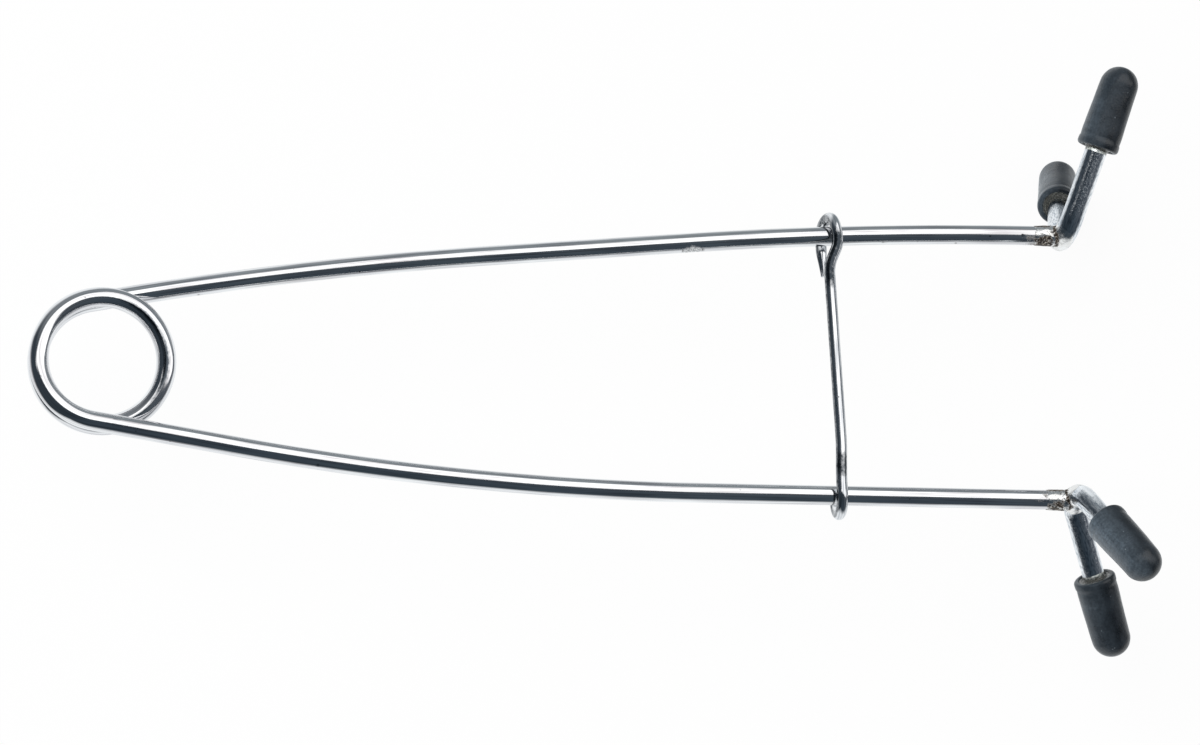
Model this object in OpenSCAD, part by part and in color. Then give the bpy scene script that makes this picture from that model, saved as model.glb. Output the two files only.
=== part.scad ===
// Spreading clamp of spring wire with four rubber-tipped feet.
// Millimetres. X runs along the arms to the feet, Y across the arms, Z along the coil's axis.
// The origin is on the coil's axis, half way up the coil.
// The arms are sprung apart. A wire link hooked over both of them sets how far they open.

/* [Spring wire] */
// Diameter of the wire in the coil and in both arms
wire_d = 3.5; // [3:0.1:4]
// Radius of the coil, to the middle of the wire
coil_r = 11.2; // [10:0.1:13]
// Turns of the coil, with the arms on opposite sides
turns = 1.5; // [1.5:1:3.5]
// Open gap between one turn of the coil and the next
coil_gap = 0.75; // [0.7:0.05:1.2]
// Angle over which the wire eases from level to the pitch of the coil
coil_ease = 20; // [14:1:30]

/* [Upper arm] */
// Angle at which the wire leaves the coil, away from the middle line
upper_lead = 9; // [8:0.5:11]
// Straight length at the coil
upper_root_l = 2.5; // [2:0.5:6]
// Length of the first long bow
upper_first_bow_l = 65.2; // [60:0.2:70]
// Angle of the first long bow
upper_first_bow = 5.5; // [4.5:0.1:6.5]
// Straight length between the two bows
upper_middle_l = 35; // [30:1:40]
// Length of the second long bow, up to the fork
upper_second_bow_l = 68.3; // [64:0.1:72]
// Angle of the second long bow
upper_second_bow = 5.2; // [4:0.1:6]

/* [Lower arm] */
// Angle at which the wire leaves the coil, away from the middle line
lower_lead = 10.9; // [9:0.1:12]
// Straight length at the coil
lower_root_l = 21.5; // [18:0.5:26]
// Length of the long bow
lower_bow_l = 83; // [76:1:88]
// Angle of the long bow
lower_bow = 9.1; // [8:0.1:10]
// Straight length from the bow to the fork
lower_tip_l = 65.8; // [60:0.2:70]

/* [Forks] */
// Diameter of the fork rod
rod_d = 4; // [3.4:0.1:4.4]
// Angle between the two prongs of a fork
fork_angle = 62; // [54:1:70]
// Radius of the elbow between the prongs, to the middle of the rod
elbow_r = 4.5; // [3.5:0.1:5.5]
// How far each fork leans toward the feet: lower, upper
fork_lean = [22.9, 18.8]; // [15:0.1:27]
// How far each fork rises out of the plane of the arms: lower, upper
fork_rise = [8.7, -21.5]; // [-25:0.1:15]
// How far each fork is turned about its own middle line: lower, upper
fork_yaw = [2.2, 7.8]; // [0:0.1:12]
// How far each elbow sits outward of the middle of its arm: lower, upper
fork_offset = [-0.6, 0]; // [-0.8:0.1:0.4]
// Bare rod from the elbow to the rubber on each near prong: lower, upper
near_bare_l = [6, 13]; // [4:0.5:16]
// Bare rod from the elbow to the rubber on each far prong: lower, upper
far_bare_l = [12.3, 13.4]; // [4:0.5:16]

/* [Braze] */
// Gap between the end of an arm and its elbow, filled with braze
braze_gap = 0.2; // [0.1:0.05:0.4]
// Length of the braze back along the arm
braze_l = 3.2; // [2:0.1:4]
// Thickness of the braze where it is fullest
braze_wall = 0.5; // [0.3:0.05:0.7]
// Thickness of the braze at the edge along the arm
braze_edge = 0.1; // [0.05:0.05:0.2]

/* [Rubber tips] */
// Diameter of a tip at its mouth
mouth_d = 7.75; // [7.2:0.05:8.5]
// Diameter of the round end
dome_d = 7.1; // [6.4:0.05:8]
// Length from the mouth to the middle of the round end
tip_l = 12; // [11:0.1:14]
// Bevel round the mouth
mouth_bevel = 0.35; // [0.2:0.05:0.6]
// Depth to which the rod goes into the tip
seat_l = 10; // [8:0.1:11]
// Thickness of the cement between the rod and the rubber
cement_wall = 0.55; // [0.3:0.05:0.8]
// How far the cement creeps out along the rod
cement_creep = 1.3; // [0.6:0.1:2]

/* [Retaining link] */
// Diameter of the link's wire
link_d = 2; // [1.6:0.1:2.4]
// Clearance between each hook and its arm: lower, upper
link_gap = [0.6, 0.45]; // [0.4:0.05:0.8]
// Distance from the coil's axis to the link, along X
link_x = 129.6; // [112:0.2:140]
// Angle of each of the two bends of the kink below the upper arm
kink_angle = 26; // [20:1:40]
// Radius of the kink's bends
kink_r = 7.5; // [4:0.5:9]
// Straight wire between the kink's bends
kink_middle_l = 1.4; // [0.3:0.1:2.5]
// Straight wire between the kink and the upper hook
kink_end_l = 0.4; // [0.2:0.1:2]
// Angle by which the upper hook is turned back
hook_turn = 14; // [8:1:24]
// Straight tail of the lower hook
lower_tail_l = 1.5; // [1:0.1:4]
// Straight tail of the upper hook, with its point
upper_tail_l = 6.6; // [5.5:0.1:10]
// Bevel round the end of the lower tail
tail_bevel = 0.2; // [0.1:0.05:0.4]
// Length of the point at the end of the upper tail
point_l = 4.5; // [3:0.1:5]
// Diameter of the blunt end of the point
point_d = 0.8; // [0.6:0.1:1.2]

/* [Hidden] */

LOWER = -1;
UPPER = 1;
NEAR = 1;
FAR = -1;

round_fn = 48;
tight_fn = 96;
bow_fn = 720;
// Straight wire runs this far into the bends beside it, which are a hair thicker
lap = 0.1;
bend_swell = 0.004;
coil_step = 7.5;
coil_sides = 16;
// The bead's outline is this much of a half wave, in so many steps
bead_arc = 150;
bead_steps = 8;

// The lists above give the lower side first
function of_side(side, pair) = pair[side > 0 ? 1 : 0];

// Coil: the wire winds clockwise from the lower arm, going down, to the upper arm
coil_sweep = 360 * turns - upper_lead - lower_lead;
coil_pitch = wire_d + coil_gap;
arm_z = coil_pitch / 360 * (coil_sweep - coil_ease) / 2;
// The coil's wire runs straight for one diameter before an arm takes over
stub_l = wire_d;

function eased(t) = t < 0 ? 0 : t < coil_ease ? t * t / (2 * coil_ease) : t - coil_ease / 2;
function ease_slope(t) = t < 0 ? 0 : t < coil_ease ? t / coil_ease : 1;
function coil_drop(t) = coil_pitch / 360 * (eased(t) - eased(t - coil_sweep + coil_ease));
function coil_slope(t) = coil_pitch / 360 * (ease_slope(t) - ease_slope(t - coil_sweep + coil_ease));
function coil_radial(t) = [-sin(lower_lead + t), -cos(lower_lead + t), 0];
function coil_middle(t) = coil_r * coil_radial(t) + [0, 0, arm_z - coil_drop(t)];
function coil_tangent(t) =
  let (level = coil_r * PI / 180,
       step = [-level * cos(lower_lead + t), level * sin(lower_lead + t), -coil_slope(t)])
  step / norm(step);

coil_steps = [for (t = [0 : coil_step : coil_sweep - coil_step / 2]) t];
coil_stations = concat(coil_steps, [coil_sweep]);
coil_path = concat(
  [coil_middle(0) - stub_l * coil_tangent(0)],
  [for (t = coil_stations) coil_middle(t)],
  [coil_middle(coil_sweep) + stub_l * coil_tangent(coil_sweep)]
);
coil_frames = concat([0], coil_stations, [coil_sweep]);

// Rings of points round the coil's path, square to the wire
function coil_ring(i) =
  let (out = coil_radial(coil_frames[i]), up = cross(coil_tangent(coil_frames[i]), out))
  [for (k = [0 : coil_sides - 1]) let (a = 360 * k / coil_sides)
    coil_path[i] + wire_d / 2 * (cos(a) * out + sin(a) * up)];

// Least gap between stretches of the coil that are over half a turn apart
half_turn_steps = round(180 / coil_step);
coil_least_gap = min([
  for (i = [0 : len(coil_path) - 1 - half_turn_steps])
    for (j = [i + half_turn_steps : len(coil_path) - 1]) norm(coil_path[i] - coil_path[j])
]) - wire_d;
echo(coil_least_gap = coil_least_gap);

// Arms: each run is a list of [length, angle turned toward the other arm]
lower_run = [[lower_root_l, 0], [lower_bow_l, lower_bow], [lower_tip_l, 0]];
upper_run = [
  [upper_root_l, 0], [upper_first_bow_l, upper_first_bow],
  [upper_middle_l, 0], [upper_second_bow_l, upper_second_bow]
];

function bow_r(step) = step[0] / (step[1] * PI / 180);
function turned(p, a) = [p[0] * cos(a) - p[1] * sin(a), p[0] * sin(a) + p[1] * cos(a)];
function step_end(step) =
  step[1] == 0 ? [step[0], 0] : bow_r(step) * [sin(step[1]), 1 - cos(step[1])];

// Place and heading at distance s along a run that starts along X and turns toward +Y
function run_place(run, s, i = 0) =
  i >= len(run) || s <= 0 ? [0, 0] :
  let (part = min(s, run[i][0]), turn = run[i][1] * part / run[i][0])
  step_end([part, turn]) + turned(run_place(run, s - run[i][0], i + 1), turn);
function run_turn(run, s, i = 0) =
  i >= len(run) || s <= 0 ? 0 :
  run[i][1] * min(s, run[i][0]) / run[i][0] + run_turn(run, s - run[i][0], i + 1);
function run_length(run, i = 0) = i >= len(run) ? 0 : run[i][0] + run_length(run, i + 1);

function lead(side) = of_side(side, [lower_lead, upper_lead]);
function arm_run(side) = of_side(side, [lower_run, upper_run]);
function arm_root(side) =
  turned([stub_l, -coil_r], -lead(side));
function arm_place(side, s) = arm_root(side) + turned(run_place(arm_run(side), s), -lead(side));
function arm_heading(side, s) = run_turn(arm_run(side), s) - lead(side);
// Distance along an arm at which it reaches x
function reach_x(side, x, s = 0, tries = 5) =
  tries == 0 ? s : reach_x(side, x, s + x - arm_place(side, s)[0], tries - 1);

// Both arms are laid out as the lower one, and the upper one is mirrored across the middle line
module on_side(side) {
  mirror([0, side > 0 ? 1 : 0, 0])
    translate([0, 0, -side * arm_z])
      children();
}

// A bend about Z, starting at angle 0
module bend(d, r, angle, fn) {
  rotate_extrude(angle = angle, $fn = fn)
    translate([r, 0])
      circle(d = d + bend_swell, $fn = round_fn);
}

// A straight rod up Z, lapped into the bend at either end
module straight(d, l, lap_before = lap, lap_after = lap) {
  translate([0, 0, -lap_before])
    cylinder(d = d, h = lap_before + l + lap_after, $fn = round_fn);
}

module wire_run(run, i = 0) {
  if (i < len(run)) {
    if (run[i][1] == 0) {
      rotate([0, 90, 0])
        straight(wire_d, run[i][0], i == 0 ? 0 : lap, i == len(run) - 1 ? 0 : lap);
    } else {
      translate([0, bow_r(run[i]), 0])
        rotate([0, 0, -90])
          bend(wire_d, bow_r(run[i]), run[i][1], bow_fn);
    }
    translate(step_end(run[i]))
      rotate([0, 0, run[i][1]])
        wire_run(run, i + 1);
  }
}

module arm_wire(side) {
  on_side(side)
    translate(arm_root(side))
      rotate([0, 0, -lead(side)])
        wire_run(arm_run(side));
}

module arm(side) {
  color("silver")
    arm_wire(side);
}

module spring_coil() {
  spans = len(coil_path) - 1;
  rings = [for (i = [0 : spans]) each coil_ring(i)];
  last = spans * coil_sides;
  walls = [
    for (i = [0 : spans - 1])
      for (k = [0 : coil_sides - 1])
        let (a = i * coil_sides + k, b = i * coil_sides + (k + 1) % coil_sides)
          each [[a, b, b + coil_sides], [a, b + coil_sides, a + coil_sides]]
  ];
  first_end = [for (k = [1 : coil_sides - 2]) [0, k + 1, k]];
  last_end = [for (k = [1 : coil_sides - 2]) [last, last + k, last + k + 1]];
  color("silver")
    polyhedron(points = rings, faces = concat(walls, first_end, last_end));
}

// Forks: a rod bent into a V, butted side on against the end of its arm
// The fork's own frame: its elbow at the origin, opening along X, its near prong toward +Y
module at_fork(side) {
  run = arm_run(side);
  end = run_length(run);
  seat = rod_d / 2 + braze_gap;
  on_side(side)
    translate(arm_place(side, end) + turned([seat, -of_side(side, fork_offset)], arm_heading(side, end)))
      rotate([-of_side(side, fork_rise), 0, 0])
        rotate([0, 0, of_side(side, fork_lean)])
          rotate([0, of_side(side, fork_yaw), 0])
            rotate([90, 0, -90])
              children();
}

function bare_l(side, prong) = of_side(side, prong > 0 ? near_bare_l : far_bare_l);

// A prong's frame: Z along the prong, starting where the elbow ends
module at_prong(prong) {
  half = fork_angle / 2;
  translate([elbow_r * (1 - sin(half)), prong * elbow_r * cos(half), 0])
    rotate([0, 0, prong * half])
      rotate([0, 90, 0])
        children();
}

module elbow(side) {
  at_fork(side)
    translate([elbow_r, 0, 0])
      rotate([0, 0, 90 + fork_angle / 2])
        bend(rod_d, elbow_r, 180 - fork_angle, tight_fn);
}

module fork(side) {
  color("lightgray") {
    elbow(side);
    for (prong = [NEAR, FAR])
      at_fork(side)
        at_prong(prong)
          straight(rod_d, bare_l(side, prong) + seat_l, lap, 0);
  }
}

// Braze: a bead that swells from the arm and closes on the elbow
function bead_r(u) =
  wire_d / 2 + braze_edge + (braze_wall - braze_edge) * sin(bead_arc * u) + u * (rod_d - wire_d) / 4;

module braze(side) {
  end = run_length(arm_run(side));
  bead_l = braze_l + braze_gap + rod_d / 2;
  color("saddlebrown")
    difference() {
      on_side(side)
        translate(arm_place(side, end))
          rotate([0, 0, arm_heading(side, end)])
            rotate([0, 90, 0])
              translate([0, 0, -braze_l])
                rotate_extrude($fn = round_fn)
                  polygon(concat(
                    [[0, 0]],
                    [for (i = [0 : bead_steps]) [bead_r(i / bead_steps), bead_l * i / bead_steps]],
                    [[0, bead_l]]
                  ));
      arm_wire(side);
      elbow(side);
    }
}

// Rubber tips: a tapered sleeve with a round end, cemented on to the rod
bore_d = rod_d + 2 * cement_wall;

module at_mouth(side, prong) {
  at_fork(side)
    at_prong(prong)
      translate([0, 0, bare_l(side, prong)])
        children();
}

module tip(side, prong) {
  color([0.11, 0.11, 0.12])
    at_mouth(side, prong)
      difference() {
        union() {
          cylinder(d1 = mouth_d - 2 * mouth_bevel, d2 = mouth_d, h = mouth_bevel, $fn = round_fn);
          translate([0, 0, mouth_bevel])
            cylinder(d1 = mouth_d, d2 = dome_d, h = tip_l - mouth_bevel, $fn = round_fn);
          translate([0, 0, tip_l])
            sphere(d = dome_d, $fn = round_fn);
        }
        cylinder(d = bore_d, h = seat_l, $fn = round_fn);
      }
}

module cement(side, prong) {
  rod_r = rod_d / 2;
  color([0.78, 0.80, 0.72])
    at_mouth(side, prong)
      rotate_extrude($fn = round_fn)
        polygon([
          [rod_r, -cement_creep],
          [rod_r + cement_wall / 3, -cement_creep],
          [bore_d / 2, 0],
          [bore_d / 2, seat_l],
          [rod_r, seat_l]
        ]);
}

// Retaining link: hooked round the lower arm, kinked, and hooked over the upper arm
function hook_reach(side) = (wire_d + link_d) / 2 + of_side(side, link_gap);
lower_hook_r = hook_reach(LOWER);
upper_hook_r = hook_reach(UPPER) / cos(hook_turn);
hook_step = lower_hook_r - hook_reach(UPPER);
kink_shift = 2 * kink_r * (1 - cos(kink_angle)) + kink_middle_l * sin(kink_angle);
kink_rise = 2 * kink_r * sin(kink_angle) + kink_middle_l * cos(kink_angle);
upper_hook_x = link_x + kink_shift - upper_hook_r * sin(hook_turn);
lower_hook_y = arm_place(LOWER, reach_x(LOWER, link_x))[1];
upper_hook_y = -arm_place(UPPER, reach_x(UPPER, upper_hook_x))[1];
hooks_y = upper_hook_y - lower_hook_y;
hooks_apart = norm([hooks_y, 2 * arm_z]);
link_span = sqrt(pow(hooks_apart, 2) - pow(hook_step, 2));
link_lean = atan2(2 * arm_z, hooks_y) + asin(hook_step / hooks_apart);

// Bends away from Z toward X, with what follows set at the end of the bend
module link_bend(r, angle) {
  translate([r, 0, 0])
    rotate([90, 0, 180])
      bend(link_d, r, angle, tight_fn);
  translate([r * (1 - cos(angle)), 0, r * sin(angle)])
    rotate([0, angle, 0])
      children();
}

module link_straight(l) {
  straight(link_d, l);
  translate([0, 0, l])
    children();
}

// A tail that narrows to a blunt point over its last stretch
module link_tail(l, taper_l, end_d) {
  rotate_extrude($fn = round_fn)
    polygon([
      [0, -lap], [link_d / 2, -lap], [link_d / 2, l - taper_l], [end_d / 2, l], [0, l]
    ]);
}

module retaining_link() {
  shank_l = link_span - kink_rise - kink_end_l;
  color("gainsboro")
    translate([link_x, lower_hook_y, arm_z])
      rotate([-link_lean, 0, 0])
        translate([0, 0, lower_hook_r])
          rotate([0, 90, 90]) {
            mirror([0, 0, 1])
              link_bend(lower_hook_r, 180)
                link_tail(lower_tail_l, tail_bevel, link_d - 2 * tail_bevel);
            link_straight(shank_l)
              rotate([0, 0, -90])
                link_bend(kink_r, kink_angle)
                  link_straight(kink_middle_l)
                    rotate([0, 0, 180])
                      link_bend(kink_r, kink_angle)
                        rotate([0, 0, -90])
                          link_straight(kink_end_l)
                            rotate([0, 0, hook_turn])
                              link_bend(upper_hook_r, 180)
                                link_tail(upper_tail_l, point_l, point_d);
          }
}

spring_coil();
arm(LOWER);  // lower_arm
arm(UPPER);  // upper_arm
braze(LOWER);  // lower_braze
braze(UPPER);  // upper_braze
fork(LOWER);  // lower_fork
fork(UPPER);  // upper_fork
tip(LOWER, NEAR);  // lower_near_tip
tip(LOWER, FAR);  // lower_far_tip
tip(UPPER, NEAR);  // upper_near_tip
tip(UPPER, FAR);  // upper_far_tip
cement(LOWER, NEAR);  // lower_near_cement
cement(LOWER, FAR);  // lower_far_cement
cement(UPPER, NEAR);  // upper_near_cement
cement(UPPER, FAR);  // upper_far_cement
retaining_link();
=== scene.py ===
"""Looks for the spreading clamp: plated spring wire, two forks with rubber tips, and a wire link.

Lengths are in millimetres until a mesh is made. The arms lie along X, the coil's axis is Z.
"""
import math

import bmesh
import bpy
import numpy as np
from mathutils import Matrix, Vector, noise


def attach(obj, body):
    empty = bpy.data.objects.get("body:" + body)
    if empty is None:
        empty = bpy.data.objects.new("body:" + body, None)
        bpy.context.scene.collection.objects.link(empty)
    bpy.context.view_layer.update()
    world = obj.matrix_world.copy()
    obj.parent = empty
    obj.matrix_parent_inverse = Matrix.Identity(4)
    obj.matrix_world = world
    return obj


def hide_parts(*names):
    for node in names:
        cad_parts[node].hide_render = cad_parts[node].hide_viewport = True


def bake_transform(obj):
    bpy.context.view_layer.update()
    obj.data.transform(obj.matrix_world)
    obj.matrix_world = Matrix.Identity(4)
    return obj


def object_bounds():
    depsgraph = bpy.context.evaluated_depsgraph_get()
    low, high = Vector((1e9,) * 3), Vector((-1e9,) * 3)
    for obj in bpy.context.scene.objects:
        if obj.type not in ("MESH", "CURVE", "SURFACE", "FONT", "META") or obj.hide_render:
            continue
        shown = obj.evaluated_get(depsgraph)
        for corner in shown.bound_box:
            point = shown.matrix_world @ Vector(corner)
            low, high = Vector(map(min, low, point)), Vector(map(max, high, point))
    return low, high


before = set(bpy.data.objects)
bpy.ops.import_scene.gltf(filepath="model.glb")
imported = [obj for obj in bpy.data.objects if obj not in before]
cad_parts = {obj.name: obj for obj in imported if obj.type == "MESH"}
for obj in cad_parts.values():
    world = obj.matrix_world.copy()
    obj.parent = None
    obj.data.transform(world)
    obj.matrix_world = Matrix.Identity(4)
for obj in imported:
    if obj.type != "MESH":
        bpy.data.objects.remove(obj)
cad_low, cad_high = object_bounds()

MM = 0.001

# Spring wire
WIRE_R = 3.5 / 2
COIL_R = 11.2
COIL_PITCH = 3.5 + 0.75
COIL_EASE = 20.0
STUB = 3.5
LEADS = {"lower": 10.9, "upper": 9.0}
COIL_SWEEP = 540.0 - LEADS["lower"] - LEADS["upper"]
ARM_Z = COIL_PITCH / 360 * (COIL_SWEEP - COIL_EASE) / 2
RUNS = {
    "lower": ((21.5, 0.0), (83.0, 9.1), (65.8, 0.0)),
    "upper": ((2.5, 0.0), (65.2, 5.5), (35.0, 0.0), (68.3, 5.2)),
}
# The arms are laid out alike, and the upper one is mirrored across the middle line
SIGN = {"lower": -1, "upper": 1}

# Forks
ROD_R = 4.0 / 2
HALF_FORK = 31.0
ELBOW_R = 4.5
FORK_LEAN = {"lower": 22.9, "upper": 18.8}
FORK_RISE = {"lower": 8.7, "upper": -21.5}
FORK_YAW = {"lower": 2.2, "upper": 7.8}
FORK_OFFSET = {"lower": -0.6, "upper": 0.0}
BARE = {
    ("lower", "near"): 6.0, ("lower", "far"): 12.3,
    ("upper", "near"): 13.0, ("upper", "far"): 13.4,
}
# How strongly flux stained each joint
FLUX = {"lower": 0.85, "upper": 1.0}
# How far the chalky bloom runs along each prong
SATIN = {
    ("lower", "near"): 8.0, ("lower", "far"): 2.6,
    ("upper", "near"): 1.8, ("upper", "far"): 1.8,
}
PRONG = {"near": 1, "far": -1}
BRAZE_GAP = 0.2
BRAZE_L = 3.2
# The braze's skin over wire and rod, the fillet between them, and how far out the skin thins away
BRAZE_SKIN = 0.17
BRAZE_FILLET = 0.6
BRAZE_REACH = 4.2

# Tips
MOUTH_R = 7.75 / 2
DOME_R = 7.1 / 2
TIP_L = 12.0
SEAT_L = 10.0
CEMENT = 0.55
# Radius of the tip's rolled mouth, and the reach over which the cement's edge grows wavy
LIP_R = 0.55
CREEP = 1.3
# How far under their full radius the tips are, so that their unevenness stays within it
TIP_SLACK = 0.03

# Link
LINK_R = 2.0 / 2
HOOK_REACH = {"lower": WIRE_R + LINK_R + 0.6, "upper": WIRE_R + LINK_R + 0.45}
LINK_X = 129.6
KINK_ANGLE = 26.0
KINK_R = 7.5
KINK_MIDDLE = 1.4
KINK_END = 0.4
HOOK_TURN = 14.0
LOWER_TAIL = 1.5
UPPER_TAIL = 6.6
POINT_L = 4.5
POINT_R = 0.4
# How far the shank bows, and how deep the file's flats on the point are as a share of the radius
LINK_BOW = 0.42
FILED = 0.16
# How dark the link's plate is made. On its flanks and along the middle of its kink this is painted shade,
# set by which way the wire faces; over its upper hook and above the lower arm the plate is darker
LINK_DARKENING = {"flanks": 0.66, "kink": 0.84, "hook": 0.74, "patch": 0.68}

# Steps along an arm's middle line, between a wire's rings, and between the link's
FINE = 0.1
RING_STEP = 0.8
LINK_STEP = 0.25
# Edges sharper than this, in degrees, are not smoothed over
SHARP = 50
# How far each wire strays from round, and how long its waves are
WAVES = {"wire": (0.006, 6.0), "rod": (0.010, 4.0), "link": (0.012, 2.5)}


# ---------------------------------------------------------------- places and frames

def shift(x, y, z):
    """A 4x4 move."""
    m = np.eye(4)
    m[:3, 3] = (x, y, z)
    return m


def turn(axis, degrees):
    """A 4x4 turn about one of the axes."""
    return np.array(Matrix.Rotation(math.radians(degrees), 4, axis))


def put(m, points):
    """Points carried by a 4x4."""
    return points @ m[:3, :3].T + m[:3, 3]


def unit(v):
    return v / np.linalg.norm(v, axis=-1, keepdims=True)


def distances(line):
    """How far along a line each of its points is."""
    return np.concatenate([[0], np.cumsum(np.linalg.norm(np.diff(line, axis=0), axis=1))])


def side_mirror(side):
    return np.diag([1, -SIGN[side], 1, 1.0])


def arm_line(side):
    """An arm's middle line from the coil to the fork: distance, points, headings in degrees."""
    lengths = [length for length, _ in RUNS[side]]
    turns = [angle for _, angle in RUNS[side]]
    total = sum(lengths)
    s = np.linspace(0, total, round(total / FINE) + 1)
    heading = np.interp(s, np.cumsum([0] + lengths), np.cumsum([-LEADS[side]] + turns))
    middle = np.radians((heading[1:] + heading[:-1]) / 2)
    steps = np.diff(s)[:, None] * np.stack([np.cos(middle), np.sin(middle)], 1)
    root = (turn("Z", -LEADS[side]) @ (STUB, -COIL_R, 0, 1))[:2]
    plane = root + np.vstack([[0, 0], np.cumsum(steps, 0)])
    height = np.full(len(s), -SIGN[side] * ARM_Z)
    points = np.column_stack([plane, height])
    return s, points * (1, -SIGN[side], 1), heading


def coil_line(step=1.5):
    """The coil's middle line with its straight stubs, from the lower arm to the upper one."""
    t = np.linspace(0, COIL_SWEEP, round(COIL_SWEEP / step) + 1)

    def eased(a):
        a = np.clip(a, 0, None)
        return np.where(a < COIL_EASE, a * a / (2 * COIL_EASE), a - COIL_EASE / 2)

    angle = np.radians(LEADS["lower"] + t)
    drop = COIL_PITCH / 360 * (eased(t) - eased(t - COIL_SWEEP + COIL_EASE))
    out = np.column_stack([-np.sin(angle), -np.cos(angle), np.zeros(len(t))])
    points = COIL_R * out + np.outer(ARM_Z - drop, (0, 0, 1))
    back = -np.array([-math.cos(angle[0]), math.sin(angle[0]), 0])
    ahead = np.array([-math.cos(angle[-1]), math.sin(angle[-1]), 0])
    stub = np.linspace(0, STUB, 8)[1:, None]
    points = np.vstack([points[0] + stub[::-1] * back, points, points[-1] + stub * ahead])
    out = np.vstack([np.repeat(out[:1], 7, 0), out, np.repeat(out[-1:], 7, 0)])
    return points, out


def fork_frame(side):
    """The fork's own frame: the elbow at the origin, opening along X, the near prong toward +Y."""
    s, points, heading = arm_line(side)
    seat = turn("Z", heading[-1]) @ (ROD_R + BRAZE_GAP, -FORK_OFFSET[side], 0, 1)
    end = points[-1] * (1, -SIGN[side], 1) + seat[:3]
    lie = turn("Z", -90) @ turn("X", 90)
    pose = turn("X", -FORK_RISE[side]) @ turn("Z", FORK_LEAN[side]) @ turn("Y", FORK_YAW[side])
    return side_mirror(side) @ shift(*end) @ pose @ lie


def prong_frame(side, prong):
    """Z along the prong, starting at the rubber's mouth."""
    half = math.radians(HALF_FORK)
    start = shift(ELBOW_R * (1 - math.sin(half)), PRONG[prong] * ELBOW_R * math.cos(half), 0)
    along = turn("Z", PRONG[prong] * HALF_FORK) @ turn("Y", 90)
    return fork_frame(side) @ start @ along @ shift(0, 0, BARE[side, prong])


# ---------------------------------------------------------------- meshes

def make_piece(name, points, faces, body, material, own=None, marks=None):
    """A closed smooth mesh from points in mm. own is each point's place on the unbent piece."""
    mesh = bpy.data.meshes.new(name)
    mesh.from_pydata((np.asarray(points) * MM).tolist(), [], faces)
    mesh.update()
    mesh.polygons.foreach_set("use_smooth", [True] * len(mesh.polygons))
    piece = bpy.data.objects.new(name, mesh)
    bpy.context.scene.collection.objects.link(piece)
    own_mm = mesh.attributes.new("own_mm", "FLOAT_VECTOR", "POINT")
    own_mm.data.foreach_set("vector", np.asarray(points if own is None else own, np.float32).ravel())
    for mark, values in (marks or {}).items():
        layer = mesh.attributes.new(mark, "FLOAT", "POINT")
        layer.data.foreach_set("value", np.asarray(values, np.float32).ravel())
    mesh.materials.append(material)
    mesh.set_sharp_from_angle(angle=math.radians(SHARP))
    if body:
        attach(piece, body)
    return piece


def ring_faces(rings, sides, flip=False):
    """Quads between rings of points that follow one another."""
    faces = []
    for i in range(rings - 1):
        for k in range(sides):
            a, b = i * sides + k, i * sides + (k + 1) % sides
            quad = (a, b, b + sides, a + sides)
            faces.append(quad[::-1] if flip else quad)
    return faces


def closed_tube(rings, flip=False):
    """Points and faces of a tube of rings, shut at both ends by a fan."""
    count, sides, _ = rings.shape
    points = rings.reshape(-1, 3)
    faces = ring_faces(count, sides, flip=flip)
    last = (count - 1) * sides
    middle = len(points)
    points = np.vstack([points, rings[0].mean(0), rings[-1].mean(0)])
    for k in range(sides):
        n = (k + 1) % sides
        start, end = (n, k, middle), (last + k, last + n, middle + 1)
        faces.append(start[::-1] if flip else start)
        faces.append(end[::-1] if flip else end)
    return points, faces


def side_angles(sides):
    return np.arange(sides) * 2 * np.pi / sides


def sweep(line, out, up, radius):
    """Rings of points round a middle line. radius has a row for each ring."""
    a = side_angles(radius.shape[1])
    spoke = np.cos(a)[None, :, None] * out[:, None] + np.sin(a)[None, :, None] * up[:, None]
    return line[:, None] + radius[:, :, None] * spoke


def own_rings(s, radius):
    """The same rings on the straight wire: distance along, and place across it."""
    a = side_angles(radius.shape[1])
    along = np.repeat(s[:, None], len(a), 1)
    return np.stack([along, radius * np.cos(a), radius * np.sin(a)], 2)


def own_closed(own):
    """The unbent places for closed_tube, its two middle points included."""
    return np.vstack([own.reshape(-1, 3), own[0].mean(0), own[-1].mean(0)])


def field(points, size, seed):
    """Smooth noise from -1 to 1, with bumps about size mm across."""
    base = Vector((seed * 17.3, seed * 5.1, seed * 9.7))
    flat = np.asarray(points).reshape(-1, 3) / size
    values = [noise.noise(Vector(p) + base) for p in flat]
    return np.array(values).reshape(np.asarray(points).shape[:-1])


def nick_depth(own, nicks):
    """How deep and how worn each point is. A nick is (distance, angle, length, width, depth)."""
    depth = np.zeros(own.shape[:-1])
    worn = np.zeros(own.shape[:-1])
    angle = np.arctan2(own[..., 2], own[..., 1])
    reach = np.hypot(own[..., 1], own[..., 2])
    for place, at, length, width, deep in nicks:
        around = (angle - math.radians(at) + np.pi) % (2 * np.pi) - np.pi
        shape = np.exp(-((own[..., 0] - place) / length) ** 2 - (around * reach / width) ** 2)
        depth += deep * shape
        worn = np.maximum(worn, shape)
    return depth, worn


def stations(start, end, nicks, fine=0.15):
    """Distances of the rings along a wire, closer together at each nick."""
    s = [np.linspace(start, end, max(2, round((end - start) / RING_STEP) + 1))]
    for place, _, length, _, _ in nicks:
        if start + 2 < place < end - 2:
            s.append(np.arange(place - 1.8 * length, place + 1.8 * length, fine))
    s = np.unique(np.round(np.concatenate(s), 4))
    return s[np.concatenate([[True], np.diff(s) > fine * 0.4])]


# ---------------------------------------------------------------- materials

def linear(hex_colour):
    """An sRGB hex colour as linear RGBA."""
    parts = [int(hex_colour[i:i + 2], 16) / 255 for i in (1, 3, 5)]
    return [c / 12.92 if c <= 0.04045 else ((c + 0.055) / 1.055) ** 2.4 for c in parts] + [1.0]


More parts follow.
